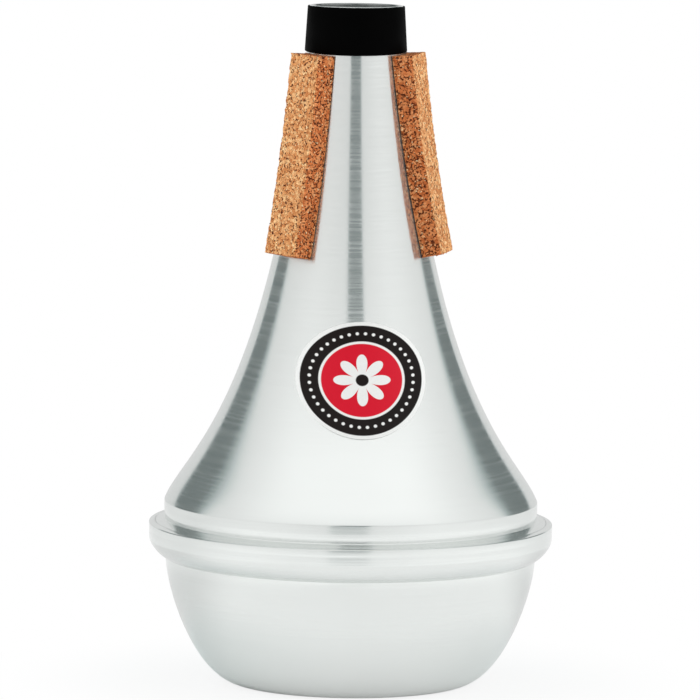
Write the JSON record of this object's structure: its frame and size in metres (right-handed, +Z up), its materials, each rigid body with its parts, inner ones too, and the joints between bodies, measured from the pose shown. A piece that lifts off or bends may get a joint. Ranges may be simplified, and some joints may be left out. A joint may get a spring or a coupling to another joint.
{
  "type": "trumpet straight mute",
  "caption": "Straight mute for a trumpet: a spun aluminium cone seamed to a rounded bowl, with cork strips, a black throat collar and an oval label.",
  "frame": {"origin": "middle of the flat base that the mute stands on", "axes": "+Z up the axis from the base to the throat, -Y towards the labelled front, +X to the right of a viewer facing the label; one cork strip lies on +Y"},
  "size_m": [0.0904, 0.0904, 0.1532],
  "materials": {
    "spun_aluminium": "spun satin with fine lines round the axis",
    "collar_rubber": "smooth black, slight sheen",
    "cork": "pressed cork granules, matt, with dark specks",
    "contact_glue": "thin dried film of contact glue",
    "label_paper": "glossy printed label stock"
  },
  "bodies": {
    "root": {"base_bowl": "spun_aluminium", "cone_body": "spun_aluminium", "throat_collar": "collar_rubber", "cork_back": "cork", "cork_left": "cork", "cork_right": "cork", "cork_glue_back": "contact_glue", "cork_glue_left": "contact_glue", "cork_glue_right": "contact_glue", "label": "label_paper"}
  },
  "joints": []
}
